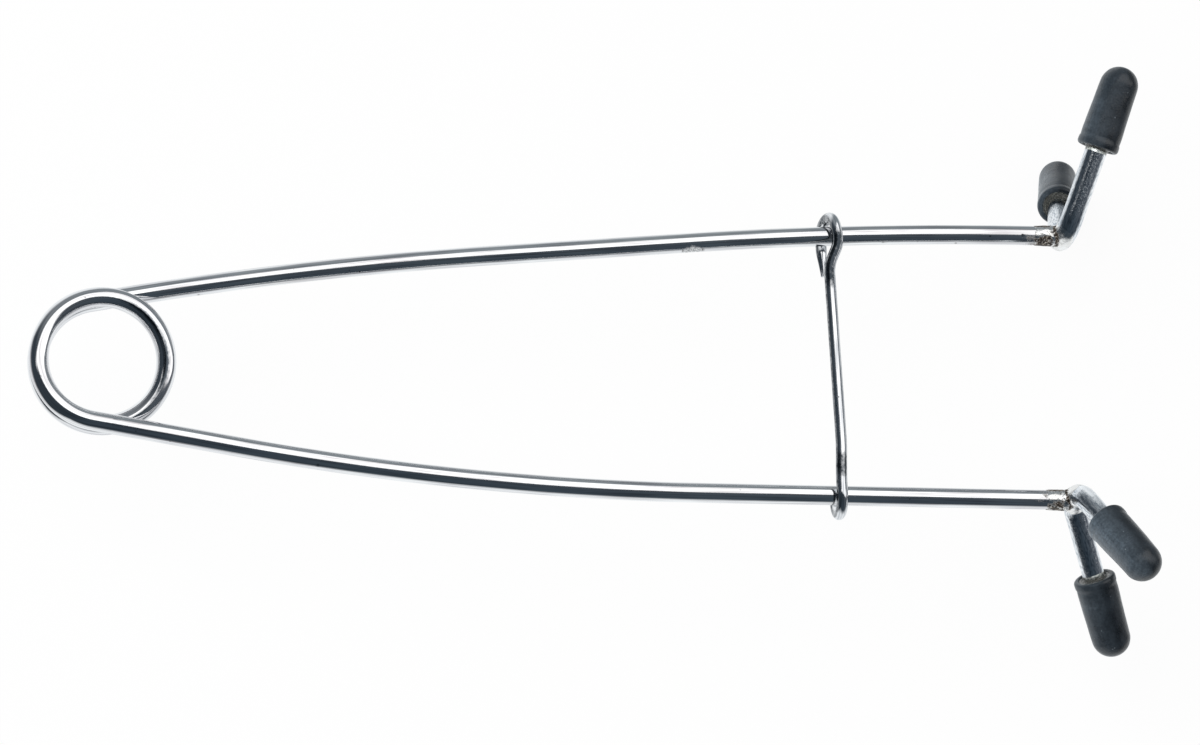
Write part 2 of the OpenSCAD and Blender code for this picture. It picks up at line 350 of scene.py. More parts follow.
def add(tree, kind, inputs=None, stops=(), **settings):
    """A node with its settings and inputs. An input given as a node or an output is linked.

    stops are a colour ramp's positions, each with a hex colour or a grey level.
    """
    node = tree.nodes.new("ShaderNode" + kind)
    for key, value in settings.items():
        setattr(node, key, value)
    for key, value in (inputs or {}).items():
        if isinstance(value, bpy.types.Node):
            value = next(output for output in value.outputs if output.enabled)
        if isinstance(value, bpy.types.NodeSocket):
            tree.links.new(value, node.inputs[key])
        else:
            node.inputs[key].default_value = value
    elements = node.color_ramp.elements if stops else []
    while len(elements) < len(stops):
        elements.new(0.5)
    for element, (position, colour) in zip(elements, stops):
        element.position = position
        element.color = linear(colour) if isinstance(colour, str) else (colour, colour, colour, 1)
    return node


def new_material(name):
    """An empty material and its tree."""
    material = bpy.data.materials.new(name)
    material.use_nodes = True
    material.node_tree.nodes.clear()
    return material, material.node_tree


def stretched(tree, along, across):
    """The piece's own place, scaled so that one unit is along mm by across mm."""
    own = add(tree, "Attribute", attribute_name="own_mm").outputs["Vector"]
    scale = (1 / along, 1 / across, 1 / across)
    return add(tree, "VectorMath", {0: own, 1: scale}, operation="MULTIPLY")


# Lengths along and across a piece, in mm, of the patterns in its finish. Real flecks, drawn lines
# and grains are finer, and these are as coarse as it takes for them to show
CLOUDED_PLATE = (9.0, 2.2)
STAIN_FLECKS = (0.30, 0.24)
PIT_SPACING = (2.3, 1.9)
BRAZE_GRAIN = (0.34, 0.34)
BRAZE_CLOUD = (1.6, 1.6)
RUBBER_CLOUD = (3.0, 2.2)
RUBBER_SKIN = (0.40, 0.40)
MOULD_RINGS = (0.7, 9.0)
MOULD_DRAG = (9.0, 0.8)
DUST_SPACING = (1.5, 1.5)
CEMENT_WAVES = (0.7, 0.9)
# Depths of the bumps, in metres
DRAWN_DEPTH = 0.00005
BRAZE_DEPTH = 0.00012
RUBBER_DEPTH = 0.00010
CEMENT_DEPTH = 0.0002
# How far oxide and scuffs take the plate from metal, and how much rougher they leave it
OXIDE_LOSS = 0.75
STAIN_ROUGH = 0.3
SCUFF_ROUGH = 0.25


def plated_wire(name, bright, cloud, streak, dull_and_shade_tone, streak_mm, scratch_mm, rough_low, rough_high,
                dull_and_shade_rough, dull_and_shade_metal, grain_mm, grain_depth):
    """Bright zinc plate over drawn steel wire.

    To the eye it is near a mirror, with fine lines along the wire, cloudier patches, a few
    brown pits, pale scuffs, and flux stains from brown to black near the braze. One mark
    darkens the plate as painted shade on the coil and the link, standing in for dark
    reflections, and on the forks leaves it satin under a chalky zinc bloom.
    """
    material, tree = new_material(name)
    dull_and_painted_shade, worn, scorch, dent = (add(tree, "Attribute", attribute_name=mark).outputs["Fac"]
                                for mark in ("dull_and_painted_shade", "worn", "scorch", "pit"))
    patches = add(tree, "TexNoise", {"Vector": stretched(tree, *CLOUDED_PLATE), "Scale": 1.0,
                                     "Detail": 4.0})
    lines = add(tree, "TexNoise", {"Vector": stretched(tree, streak_mm, scratch_mm), "Scale": 1.0,
                                   "Detail": 3.0})
    grain = add(tree, "TexNoise", {"Vector": stretched(tree, grain_mm * 1.5, grain_mm), "Scale": 1.0,
                                   "Detail": 4.0, "Roughness": 0.6})
    flecks = add(tree, "TexNoise", {"Vector": stretched(tree, *STAIN_FLECKS), "Scale": 1.0,
                                    "Detail": 4.0, "Roughness": 0.7})
    cells = add(tree, "TexVoronoi", {"Vector": stretched(tree, *PIT_SPACING), "Scale": 1.0})
    plate = add(tree, "ValToRGB", {"Fac": patches}, [(0.35, bright), (0.7, cloud)])
    drawn = add(tree, "ValToRGB", {"Fac": lines}, [(0.36, streak), (0.50, 0.93), (0.60, 1.0)])
    plate = add(tree, "Mix", {"Factor": 1.0, 6: plate, 7: drawn}, data_type="RGBA",
                blend_type="MULTIPLY")
    # Painted dark patches on the coil and link, and the forks' chalky bloom, end in grains
    dull_and_shade_level = add(tree, "Math", {0: dull_and_painted_shade, 1: 1.7, 2: 0.3}, operation="MULTIPLY_ADD")
    dull_and_shade_share = add(tree, "Math", {0: grain, 1: -1.4, 2: dull_and_shade_level}, operation="MULTIPLY_ADD", use_clamp=True)
    # Painted shade: the plate mixed toward a darker tone on the coil and the link
    plate = add(tree, "Mix", {"Factor": dull_and_shade_share, 6: plate, 7: linear(dull_and_shade_tone)}, data_type="RGBA")
    chipped = add(tree, "ValToRGB", {"Fac": flecks},
                  [(0.38, "#77797b"), (0.50, "#c9ccce"), (0.58, "#f6f7f7")])
    plate = add(tree, "Mix", {"Factor": worn, 6: plate, 7: chipped}, data_type="RGBA")
    # Flux stains break up into flecks at their edges
    stain = add(tree, "ValToRGB", {"Fac": flecks},
                [(0.38, "#211c19"), (0.47, "#484039"), (0.56, "#857c71"), (0.66, "#d3cfc8")])
    spread = add(tree, "Math", {0: scorch, 1: 2.7}, operation="MULTIPLY")
    spread = add(tree, "Math", {0: flecks, 1: -3.0, 2: spread}, operation="MULTIPLY_ADD")
    stained = add(tree, "Math", {0: spread, 1: 1.5}, operation="MULTIPLY", use_clamp=True)
    plate = add(tree, "Mix", {"Factor": stained, 6: plate, 7: stain}, data_type="RGBA")
    # Fine pits keep to the cloudier patches
    fine = add(tree, "ValToRGB", {"Fac": cells}, [(0.04, 1.0), (0.09, 0.0)])
    few = add(tree, "ValToRGB", {"Fac": patches}, [(0.50, 0.0), (0.62, 1.0)])
    pitted = add(tree, "Math", {0: fine, 1: few}, operation="MULTIPLY")
    pitted = add(tree, "Math", {0: pitted, 1: dent}, operation="MAXIMUM")
    plate = add(tree, "Mix", {"Factor": pitted, 6: plate, 7: linear("#3d3833")}, data_type="RGBA")
    rough = add(tree, "MapRange", {"Value": patches, "From Min": 0.3, "From Max": 0.75,
                                   "To Min": rough_low, "To Max": rough_high})
    for share, amount in ((worn, SCUFF_ROUGH), (dull_and_shade_share, dull_and_shade_rough), (stained, STAIN_ROUGH)):
        rough = add(tree, "Math", {0: share, 1: amount, 2: rough}, operation="MULTIPLY_ADD")
    # Oxide, chalky bloom and a scuffed plate are no mirror
    chalky = add(tree, "Math", {0: dull_and_shade_share, 1: 1 - dull_and_shade_metal}, operation="MULTIPLY")
    oxide = add(tree, "Math", {0: stained, 1: worn}, operation="MAXIMUM")
    oxide = add(tree, "Math", {0: oxide, 1: OXIDE_LOSS}, operation="MULTIPLY")
    lost = add(tree, "Math", {0: chalky, 1: oxide}, operation="MAXIMUM")
    metal = add(tree, "Math", {0: 1.0, 1: lost}, operation="SUBTRACT")
    relief = add(tree, "Math", {0: pitted, 1: -0.6, 2: lines}, operation="MULTIPLY_ADD")
    relief = add(tree, "Math", {0: grain, 1: grain_depth, 2: relief}, operation="MULTIPLY_ADD")
    bump = add(tree, "Bump", {"Height": relief, "Strength": 0.10, "Distance": DRAWN_DEPTH})
    shader = add(tree, "BsdfPrincipled", {"Base Color": plate, "Metallic": metal, "Roughness": rough,
                                          "Normal": bump})
    add(tree, "OutputMaterial", {"Surface": shader})
    return material


def plated_braze():
    """Brazing alloy that was zinc plated along with the wire.

    To the eye it is a lumpy bright skin, stained brown to black by flux in its creases.
    """
    material, tree = new_material("zinc_plated_braze")
    scorch = add(tree, "Attribute", attribute_name="scorch").outputs["Fac"]
    grain = add(tree, "TexNoise", {"Vector": stretched(tree, *BRAZE_GRAIN), "Scale": 1.0,
                                   "Detail": 5.0, "Roughness": 0.65})
    cloud = add(tree, "TexNoise", {"Vector": stretched(tree, *BRAZE_CLOUD), "Scale": 1.0,
                                   "Detail": 2.0})
    bright = add(tree, "ValToRGB", {"Fac": cloud}, [(0.35, "#f6f6f5"), (0.7, "#e6e5e2")])
    stain = add(tree, "ValToRGB", {"Fac": grain},
                [(0.42, "#1c1714"), (0.50, "#433b34"), (0.58, "#7f766b"), (0.66, "#d3cfc8")])
    spread = add(tree, "Math", {0: scorch, 1: 2.7}, operation="MULTIPLY")
    spread = add(tree, "Math", {0: grain, 1: -3.0, 2: spread}, operation="MULTIPLY_ADD")
    stained = add(tree, "Math", {0: spread, 1: 1.6}, operation="MULTIPLY", use_clamp=True)
    skin = add(tree, "Mix", {"Factor": stained, 6: bright, 7: stain}, data_type="RGBA")
    rough = add(tree, "MapRange", {"Value": stained, "To Min": 0.16, "To Max": 0.5})
    metal = add(tree, "MapRange", {"Value": stained, "To Min": 1.0, "To Max": 0.25})
    bump = add(tree, "Bump", {"Height": grain, "Strength": 0.35, "Distance": BRAZE_DEPTH})
    shader = add(tree, "BsdfPrincipled", {"Base Color": skin, "Metallic": metal, "Roughness": rough,
                                          "Normal": bump})
    add(tree, "OutputMaterial", {"Surface": shader})
    return material


def moulded_rubber():
    """Moulded nitrile rubber.

    To the eye it is blue-black and satin, with a grey-blue over one flank that is partly dust
    and partly painted sheen, faint rings left by the mould, a fine skin and a few pale specks.
    """
    material, tree = new_material("moulded_nitrile_rubber")
    cloud = add(tree, "TexNoise", {"Vector": stretched(tree, *RUBBER_CLOUD), "Scale": 1.0,
                                   "Detail": 6.0, "Roughness": 0.65})
    skin = add(tree, "TexNoise", {"Vector": stretched(tree, *RUBBER_SKIN), "Scale": 1.0,
                                  "Detail": 3.0})
    rings = add(tree, "TexNoise", {"Vector": stretched(tree, *MOULD_RINGS), "Scale": 1.0,
                                   "Detail": 2.0})
    drag = add(tree, "TexNoise", {"Vector": stretched(tree, *MOULD_DRAG), "Scale": 1.0,
                                  "Detail": 3.0})
    dust = add(tree, "TexVoronoi", {"Vector": stretched(tree, *DUST_SPACING), "Scale": 1.0})
    speck = add(tree, "ValToRGB", {"Fac": dust}, [(0.04, 1.0), (0.09, 0.0)])
    sparse = add(tree, "ValToRGB", {"Fac": cloud}, [(0.50, 0.0), (0.58, 1.0)])
    dusty = add(tree, "Math", {0: speck, 1: sparse}, operation="MULTIPLY")
    black = add(tree, "ValToRGB", {"Fac": cloud},
                [(0.34, "#0e1318"), (0.52, "#161d24"), (0.68, "#1f2830")])
    # The dust and painted sheen are broken up by the mould's marks and the skin
    dust_and_sheen = add(tree, "Attribute", attribute_name="dust_and_sheen").outputs["Fac"]
    for pattern, stops in ((drag, [(0.36, 0.7), (0.62, 1.0)]), (rings, [(0.35, 0.78), (0.65, 1.0)]),
                           (skin, [(0.35, 0.6), (0.65, 1.0)])):
        broken = add(tree, "ValToRGB", {"Fac": pattern}, stops)
        dust_and_sheen = add(tree, "Math", {0: dust_and_sheen, 1: broken}, operation="MULTIPLY")
    # Painted sheen and dust: a lighter grey-blue laid over the flank on the lamp's side
    surface = add(tree, "Mix", {"Factor": dust_and_sheen, 6: black, 7: linear("#65727d")}, data_type="RGBA")
    surface = add(tree, "Mix", {"Factor": dusty, 6: surface, 7: linear("#8b959c")}, data_type="RGBA")
    rough = add(tree, "MapRange", {"Value": cloud, "From Min": 0.35, "From Max": 0.65,
                                   "To Min": 0.24, "To Max": 0.40})
    relief = add(tree, "Math", {0: dusty, 1: 0.7, 2: skin}, operation="MULTIPLY_ADD")
    relief = add(tree, "Math", {0: cloud, 1: 2.5, 2: relief}, operation="MULTIPLY_ADD")
    bump = add(tree, "Bump", {"Height": relief, "Strength": 0.35, "Distance": RUBBER_DEPTH})
    shader = add(tree, "BsdfPrincipled", {
        "Base Color": surface, "Roughness": rough, "Sheen Weight": 0.35, "Sheen Roughness": 0.2,
        "Sheen Tint": linear("#c3d2de"), "Normal": bump})
    add(tree, "OutputMaterial", {"Surface": shader})
    return material


def set_cement():
    """Contact cement set clear: glassy, barely yellow-green, with a wavy skin that glints."""
    material, tree = new_material("clear_set_cement")
    skin = add(tree, "TexNoise", {"Vector": stretched(tree, *CEMENT_WAVES), "Scale": 1.0,
                                  "Detail": 3.0})
    tint = add(tree, "ValToRGB", {"Fac": skin}, [(0.35, "#e9eae4"), (0.7, "#cdd0c6")])
    rough = add(tree, "ValToRGB", {"Fac": skin}, [(0.3, 0.03), (0.7, 0.12)])
    bump = add(tree, "Bump", {"Height": skin, "Strength": 0.5, "Distance": CEMENT_DEPTH})
    shader = add(tree, "BsdfPrincipled", {"Base Color": tint, "Roughness": rough, "IOR": 1.48,
                                          "Transmission Weight": 0.92, "Normal": bump})
    add(tree, "OutputMaterial", {"Surface": shader})
    return material


# The darker tone given for the spring and link wire is painted shade, standing in for dark reflections;
# the forks' pale tone is their chalky bloom
SPRING_STEEL = plated_wire("zinc_plated_spring_steel", "#fafbfb", "#e6e6e9", streak="#d0cdce",
                           dull_and_shade_tone="#4f565d", streak_mm=14.0, scratch_mm=0.22, rough_low=0.05,
                           rough_high=0.12, dull_and_shade_rough=0.04, dull_and_shade_metal=1.0, grain_mm=0.45,
                           grain_depth=0.5)
FORK_STEEL = plated_wire("zinc_plated_rod", "#fafbfc", "#dde2e7", streak="#b4bbc2",
                         dull_and_shade_tone="#f1f6fa", streak_mm=0.9, scratch_mm=0.24, rough_low=0.05,
                         rough_high=0.11, dull_and_shade_rough=0.14, dull_and_shade_metal=0.22, grain_mm=0.28,
                         grain_depth=9.0)
LINK_STEEL = plated_wire("zinc_plated_link_wire", "#f8f8f8", "#e0e2e5", streak="#c8cacd",
                         dull_and_shade_tone="#3a4046", streak_mm=8.0, scratch_mm=0.16, rough_low=0.06,
                         rough_high=0.15, dull_and_shade_rough=0.06, dull_and_shade_metal=1.0, grain_mm=0.4,
                         grain_depth=1.2)
BRAZE = plated_braze()
RUBBER = moulded_rubber()
CEMENT_GLASS = set_cement()


# ---------------------------------------------------------------- spring wire

LOWER_S, LOWER_LINE, LOWER_HEADING = arm_line("lower")
UPPER_S, UPPER_LINE, UPPER_HEADING = arm_line("upper")
COIL_LINE, COIL_OUT = coil_line()


def whole_wire():
    """The whole wire from the lower fork to the upper one: distance, points, outward spokes."""
    low = np.radians(LOWER_HEADING)
    high = np.radians(UPPER_HEADING)
    low_out = np.column_stack([np.sin(low), -np.cos(low), 0 * low])
    high_out = np.column_stack([np.sin(high), np.cos(high), 0 * high])
    line = np.vstack([LOWER_LINE[::-1], COIL_LINE[1:-1], UPPER_LINE])
    out = np.vstack([low_out[::-1], COIL_OUT[1:-1], high_out])
    return distances(line), line, out


WIRE_S, WIRE_LINE, WIRE_OUT = whole_wire()
COIL_START = LOWER_S[-1]
COIL_END = WIRE_S[-1] - UPPER_S[-1]

# How much dust, and painted sheen on the lamp's side, each tip has
DUST_AND_SHEEN_AMOUNT = {
    ("lower", "near"): 1.05, ("lower", "far"): 0.5,
    ("upper", "near"): 0.55, ("upper", "far"): 1.0,
}
# Places on the whole wire: distance along it, angle, length, width, depth
SCUFFS = [(382.9, 157, 0.6, 0.7, 0.03), (383.8, 154, 0.7, 0.85, 0.04), (384.7, 157, 0.6, 0.7, 0.03)]
PITS = [
    (432.2, 163, 0.20, 0.20, 0.07), (444.3, 101, 0.20, 0.17, 0.07), (418.7, 147, 0.25, 0.14, 0.04),
    (294.7, 168, 0.20, 0.20, 0.08), (133.9, 50, 0.22, 0.15, 0.05), (3.2, 104, 0.40, 0.26, 0.05),
    (382.0, 155, 0.16, 0.45, 0.03), (385.6, 155, 0.16, 0.45, 0.03),
]
# Faint brown stains: one where the upper arm leaves the coil, one near the lower fork
TINTS = [(289.0, 140, 2.4, 0.7, 0.0), (4.8, 75, 1.8, 0.7, 0.0)]
# A painted dark patch, painted shade on the inside of the coil's last turn, standing in for a dark
# reflection there
PAINTED_DARK_PATCH = [(216.0, 99, 7.0, 0.42, 0.0), (225.5, 92, 7.5, 0.60, 0.0)]
TINT_STRENGTH = 0.62
# The flux stain beside a braze fades over this length
STAIN_FADE = 6.2
# Each arm runs on inside the coil's end by this much, and is this much thinner there
TUCK = 1.0
TUCK_THINNER = 0.03


def wire_piece(name, body, start, end, tuck_start=0.0, tuck_end=0.0, sides=48):
    """A stretch of the wire. A tuck runs on inside the neighbour, a hair thinner."""
    s = stations(start - tuck_start, end + tuck_end, SCUFFS + PITS)
    line = np.column_stack([np.interp(s, WIRE_S, WIRE_LINE[:, i]) for i in range(3)])
    out = unit(np.column_stack([np.interp(s, WIRE_S, WIRE_OUT[:, i]) for i in range(3)]))
    along = unit(np.gradient(line, s, axis=0))
    out = unit(out - (out * along).sum(1, keepdims=True) * along)
    up = np.cross(along, out)
    radius = np.full((len(s), sides), WIRE_R)
    own = own_rings(s, radius)
    scuff_depth, worn = nick_depth(own, SCUFFS)
    pit_depth, pit = nick_depth(own, PITS)
    stray, wave = WAVES["wire"]
    radius = radius - scuff_depth - pit_depth + stray * field(own, wave, 1)
    hidden = (s < start - 1e-6) | (s > end + 1e-6)
    radius[hidden] -= TUCK_THINNER
    points, faces = closed_tube(sweep(line, out, up, radius))
    # Flux stained the last few millimetres beside each braze, mostly on the inner side
    from_braze = np.minimum(s, WIRE_S[-1] - s)
    amount = np.where(s < COIL_START, FLUX["lower"], FLUX["upper"])
    inner = np.clip(0.85 - 0.9 * np.cos(side_angles(sides)), 0.45, 1)
    heat = (amount * np.clip(1.28 - from_braze / STAIN_FADE, 0, 1))[:, None] * inner[None]
    heat = np.clip(heat * (1 + 0.7 * field(own, 0.9, 2)), 0, 1)
    heat = np.maximum(heat, TINT_STRENGTH * nick_depth(own, TINTS)[1])
    # Painted shade: the coil's dark patch
    dull_and_shade_level = nick_depth(own, PAINTED_DARK_PATCH)[1]
    scuffed = np.clip(2.2 * worn - 0.3, 0, 1)
    marks = {"worn": np.append(scuffed, [0, 0]), "scorch": np.append(heat, [0, 0]),
             "dull_and_painted_shade": np.append(dull_and_shade_level, [0, 0]), "pit": np.append(pit, [0, 0])}
    return make_piece(name, points, faces, body, SPRING_STEEL,
                      own_closed(own), marks)


lower_arm = wire_piece("lower_arm_wire", "lower_side", 0, COIL_START, tuck_end=TUCK)
upper_arm = wire_piece("upper_arm_wire", "upper_side", COIL_END, WIRE_S[-1], tuck_start=TUCK)
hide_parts("lower_arm")
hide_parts("upper_arm")

coil = wire_piece("coil_wire", None, COIL_START, COIL_END)
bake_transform(coil)
# Each point's place on the unbent wire is read back from the coil's mesh
own_s = np.zeros(len(coil.data.vertices) * 3, np.float32)
coil.data.attributes["own_mm"].data.foreach_get("vector", own_s)
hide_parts("spring_coil")


# ---------------------------------------------------------------- forks, braze and tips

# The rods stop this short of their bores' ends, and start this far past the bend
ROD_SHORT = 0.3
PAST_BEND = 0.6
# A rod bent this tightly goes slightly oval at the elbow
OVAL = 0.035
# How far the flux stain reaches along the elbow's inside
ELBOW_STAIN = 3.0


def fork_line(side):
    """A fork's middle line in its own frame, from the far tip to the near one."""
    half = math.radians(HALF_FORK)
    bend = np.radians(np.linspace(270 - HALF_FORK, 90 + HALF_FORK, 40))
    elbow = np.column_stack([ELBOW_R * (1 + np.cos(bend)), ELBOW_R * np.sin(bend)])
    ways = {}
    for prong in ("far", "near"):
        reach = np.arange(PAST_BEND, BARE[side, prong] + SEAT_L - ROD_SHORT, RING_STEP)[:, None]
        way = np.array([math.cos(half), PRONG[prong] * math.sin(half)])
        start = elbow[0] if prong == "far" else elbow[-1]
        ways[prong] = start + reach * way
    plane = np.vstack([ways["far"][::-1], elbow, ways["near"]])
    return np.column_stack([plane, np.zeros(len(plane))])


def fork_piece(side, sides=56):
    line = fork_line(side)
    s = distances(line)
    along = unit(np.gradient(line, s, axis=0))
    up = np.repeat([[0, 0, 1.0]], len(s), 0)
    out = np.cross(up, along)
    bent = np.exp(-(np.linalg.norm(line[:, :2] - (0.6, 0), axis=1) / ELBOW_R) ** 4)
    a = side_angles(sides)
    radius = ROD_R * (1 - OVAL * bent[:, None] * np.cos(2 * a)[None])
    own = own_rings(s, radius)
    stray, wave = WAVES["rod"]
    radius = radius + stray * field(own, wave, 3)
    m = fork_frame(side)
    rings = sweep(line, out, up, radius)
    points, faces = closed_tube(rings, flip=np.linalg.det(m[:3, :3]) < 0)
    elbow_s = s[np.argmin(line[:, 0])]
    heat = np.clip(1 - np.abs(s - elbow_s) / ELBOW_STAIN, 0, 1)[:, None]
    heat = heat * (0.5 - 0.5 * np.cos(a))[None]
    heat = np.clip(0.8 * heat * (1 + field(own, 1.2, 4)), 0, 1)
    # A chalky bloom leaves the plate satin round the elbow, most on the upper fork's face toward
    # the coil and on the lower fork's other face
    reach = np.where(s > elbow_s, SATIN[side, "near"], SATIN[side, "far"])
    satin = np.clip(1.5 - np.abs(s - elbow_s) / reach, 0, 0.85)[:, None]
    satin = satin * (1 + 0.5 * field(own, 1.6, 11)) * np.clip(0.7 + 1.7 * SIGN[side] * np.sin(a), 0, 1)
    marks = {"scorch": np.append(heat, [0, 0]), "dull_and_painted_shade": np.append(satin, [0, 0])}
    piece = make_piece(side + "_fork_rod", put(m, points), faces, side + "_side",
                       FORK_STEEL, own_closed(own), marks)
    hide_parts(side + "_fork")


# The part of the elbow that the bead holds, from the arm's end
ELBOW_HELD = 3.4
# Rays from inside the joint look for the bead's skin between these reaches
RAY_REACH = (0.3, 7.0)
RAY_HALVINGS = 18


def nearest(points, line):
    """Distance from each point to a polyline given by close points."""
    best = np.full(len(points), 1e9)
    for p in line:
        best = np.minimum(best, np.linalg.norm(points - p, axis=1))
    return best


def braze_piece(side):
    """A lump that hugs the arm's end and the elbow, found along rays from inside the joint."""
    s, arm, _ = arm_line(side)
    stub = arm[s > s[-1] - BRAZE_L]
    elbow = put(fork_frame(side), fork_line(side))
    centre = arm[-1]
    elbow = elbow[np.linalg.norm(elbow - centre, axis=1) < ELBOW_HELD]
    dense = np.vstack([np.linspace(a, b, 6) for a, b in zip(elbow[:-1], elbow[1:])])
    mesh = bpy.data.meshes.new("ray_start")
    ball = bmesh.new()
    bmesh.ops.create_icosphere(ball, subdivisions=5, radius=1.0)
    ball.to_mesh(mesh)
    ball.free()
    rays = np.array([v.co for v in mesh.vertices])
    faces = [tuple(p.vertices) for p in mesh.polygons]
    bpy.data.meshes.remove(mesh)
    rough = 0.07 * field(rays, 0.3, 5 + SIGN[side]) + 0.03 * field(rays, 0.1, 8 + SIGN[side])

    def inside(reach):
        p = centre + reach[:, None] * rays
        far = np.linalg.norm(p - centre, axis=1)
        skin = BRAZE_SKIN * np.clip(1 - (far / BRAZE_REACH) ** 2, -0.4, 1) + rough
        to_arm = nearest(p, stub[::4]) - WIRE_R - skin
        to_rod = nearest(p, dense) - ROD_R - skin
        h = np.clip(0.5 + 0.5 * (to_rod - to_arm) / BRAZE_FILLET, 0, 1)
        return to_rod * (1 - h) + to_arm * h - BRAZE_FILLET * h * (1 - h)

    near, far = (np.full(len(rays), reach) for reach in RAY_REACH)
    for _ in range(RAY_HALVINGS):
        middle = (near + far) / 2
        value = inside(middle)
        near = np.where(value < 0, middle, near)
        far = np.where(value < 0, far, middle)
    points = centre + near[:, None] * rays
    # Flux stays in the crease between the wire and the rod, and at the bead's edge
    to_arm = nearest(points, stub[::4]) - WIRE_R
    to_rod = nearest(points, dense) - ROD_R
    crease = np.exp(-((to_arm - to_rod) / 0.7) ** 2)
    back = (centre - points) @ unit(arm[-1] - arm[-40])
    offset = points - centre
    inner = np.clip(0.42 - offset[:, 1] / 1.6, 0.1 + 0.45 * np.clip(offset[:, 2], 0, 1), 1)
    inner = np.maximum(inner, 1.1 * np.clip((np.abs(offset[:, 1]) - 1.1) / 0.5, 0, 1))
    edge = FLUX[side] * np.clip((back + 0.6) / 1.4, 0, 1) * (1.25 - 0.15 * back) * inner
    lumpy = 1 + 0.55 * field(points, 0.6, 9)
    heat = np.clip(np.maximum(0.95 * crease, edge) * lumpy, 0, 1)
    piece = make_piece(side + "_braze_bead", points, faces, side + "_side", BRAZE,
                       marks={"scorch": heat})
    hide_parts(side + "_braze")


def lathe(profile, sides):
    """Rings of points about Z from (radius, height) pairs."""
    a = side_angles(sides)
    r = np.array([p[0] for p in profile])[:, None]
    z = np.array([p[1] for p in profile])[:, None] + 0 * a[None]
    return np.stack([r * np.cos(a), r * np.sin(a), z], 2)


def arc(centre, radius, start, end, count):
    """Points on an arc in the (radius, height) plane, in degrees."""
    return [(centre[0] + radius * math.cos(math.radians(t)),
             centre[1] + radius * math.sin(math.radians(t)))
            for t in np.linspace(start, end, count)]


def tip_piece(side, prong, seed, sides=72):
    """A moulded sleeve: rolled mouth, slight taper, round end, and a bore for the rod."""
    bore = ROD_R + CEMENT
    # The bore flares at the mouth, where the cement is poured
    profile = [(bore, SEAT_L), (bore, SEAT_L * 0.6), (bore, 2.2), (bore + 0.06, 1.3), (bore + 0.18, 0.8)]
    profile += arc((bore + 0.56, 0.30), 0.28, 180, 270, 6)
    profile += arc((MOUTH_R - LIP_R, LIP_R), LIP_R, 270, 360, 9)[1:]
    profile += [(MOUTH_R, 1.0), (MOUTH_R - 0.03, 1.35), (MOUTH_R - 0.15, 1.65), (MOUTH_R - 0.13, 2.1)]
    span = np.linspace(3, TIP_L, 14)
    profile += [(MOUTH_R + (DOME_R - MOUTH_R) * h / TIP_L - TIP_SLACK, h) for h in span]
    profile += arc((0, TIP_L), DOME_R - TIP_SLACK, 4, 88, 24)
    rings = lathe(profile, sides)
    swell = 0.07 * field(rings, 5.0, seed) + 0.02 * field(rings, 1.3, seed + 3)
    fade = np.clip(np.hypot(rings[..., 0], rings[..., 1]) - bore - 0.1, 0, 0.5) * 2
    rings = rings + unit(rings * (1, 1, 0.0) + 1e-9) * (swell * fade - TIP_SLACK * fade)[..., None]
    m = prong_frame(side, prong)
    points, faces = closed_tube(rings, flip=np.linalg.det(m[:3, :3]) > 0)
    own = points[:, [2, 0, 1]] + (seed * 40.0, 0, 0)
    # Dust, and a painted sheen: the flank that faces up and back toward the coil, on the lamp's side, is
    # painted lighter as if lit
    out = unit(points * (1, 1, 0) + (0, 0, 1e-6)) @ m[:3, :3].T
    dust_and_sheen = np.clip(1.18 * out @ unit(np.array((-1.0, -0.10, 0.45))) - 0.20, 0.03, 1)
    dust_and_sheen = dust_and_sheen * DUST_AND_SHEEN_AMOUNT[side, prong]
    dust_and_sheen *= np.clip(1.25 - points[:, 2] / (TIP_L + DOME_R) * 0.8, 0.2, 1)
    dust_and_sheen = np.clip(dust_and_sheen * (1 + 0.5 * field(points, 4.0, seed + 7)), 0, 1)
    piece = make_piece(side + "_" + prong + "_rubber_tip", put(m, points), faces,
                       side + "_side", RUBBER, own, {"dust_and_sheen": dust_and_sheen})
    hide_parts(side + "_" + prong + "_tip")


def cement_piece(side, prong, seed, sides=64):
    """Cement that fills the bore's mouth and creeps out along the rod."""
    bore = ROD_R + CEMENT
    profile = [(ROD_R - 0.04, 2.6), (bore + 0.03, 2.6), (bore + 0.06, 1.6), (bore + 0.12, 1.2),
               (bore + 0.21, 0.8), (bore + 0.32, 0.36), (bore + 0.29, 0.22), (bore + 0.12, 0.20),
               (bore - 0.12, 0.22), (bore - 0.30, 0.12), (ROD_R + 0.10, -0.10), (ROD_R + 0.04, -0.35),
               (ROD_R + 0.02, -0.8), (ROD_R - 0.04, -0.8)]
    rings = lathe(profile, sides)
    wave = 0.35 * field(rings * (1, 1, 0.2), 1.8, seed)
    drawn = np.clip(-rings[..., 2] / CREEP, 0, 1)
    rings[..., 2] += wave * drawn
    m = prong_frame(side, prong)
    points = rings.reshape(-1, 3)
    flip = np.linalg.det(m[:3, :3]) > 0
    faces = ring_faces(len(rings), sides, flip=flip)
    # The last ring closes on the first
    last = (len(rings) - 1) * sides
    for k in range(sides):
        n = (k + 1) % sides
        quad = (last + k, last + n, n, k)
        faces.append(quad[::-1] if flip else quad)
    own = points + (0, 0, seed * 30.0)
    piece = make_piece(side + "_" + prong + "_cement_ring", put(m, points), faces,
                       side + "_side", CEMENT_GLASS, own)
    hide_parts(side + "_" + prong + "_cement")


for number, side in enumerate(("lower", "upper")):
    fork_piece(side)
    braze_piece(side)
    for count, prong in enumerate(("near", "far")):
        tip_piece(side, prong, seed=10 + 2 * number + count)
        cement_piece(side, prong, seed=20 + 2 * number + count)


# ---------------------------------------------------------------- link

